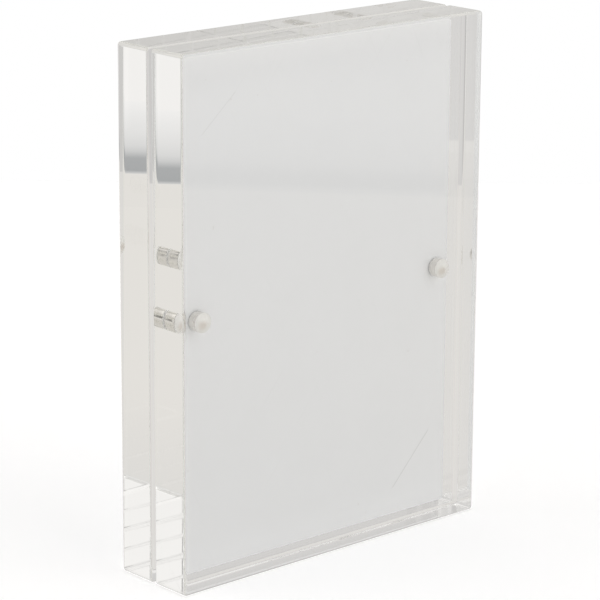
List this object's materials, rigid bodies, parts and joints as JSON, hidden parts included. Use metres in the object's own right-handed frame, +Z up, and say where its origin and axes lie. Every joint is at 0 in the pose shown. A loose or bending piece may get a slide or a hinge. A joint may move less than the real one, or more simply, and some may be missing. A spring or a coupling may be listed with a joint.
{
  "type": "acrylic block frame",
  "caption": "Free-standing clear acrylic block frame: thick rounded slabs, drawn together by inset disc magnets, hold a card or small sign between them.",
  "frame": {"origin": "on the table, under the middle of the frame's width and depth", "axes": "+Z up along the blocks' long side, X along the width, -Y out of the front block towards the viewer"},
  "size_m": [0.1, 0.0248, 0.135],
  "materials": {
    "clear_acrylic": "polished",
    "white_card": "matte",
    "nickel_plating": "polished",
    "cured_glue": "satin"
  },
  "bodies": {
    "back": {"back_block": "clear_acrylic", "back_left_magnet": "nickel_plating", "back_right_magnet": "nickel_plating", "back_left_glue": "cured_glue", "back_right_glue": "cured_glue"},
    "front": {"front_block": "clear_acrylic", "front_left_magnet": "nickel_plating", "front_right_magnet": "nickel_plating", "front_left_glue": "cured_glue", "front_right_glue": "cured_glue"},
    "card": {"insert_card": "white_card"}
  },
  "joints": [
    {"name": "front_pull", "type": "slide", "parent": "back", "child": "front", "axis": [0, -1, 0], "range_m": [0, 0.06]},
    {"name": "card_slide", "type": "slide", "parent": "back", "child": "card", "axis": [0, 0, 1], "range_m": [0, 0.135]}
  ]
}
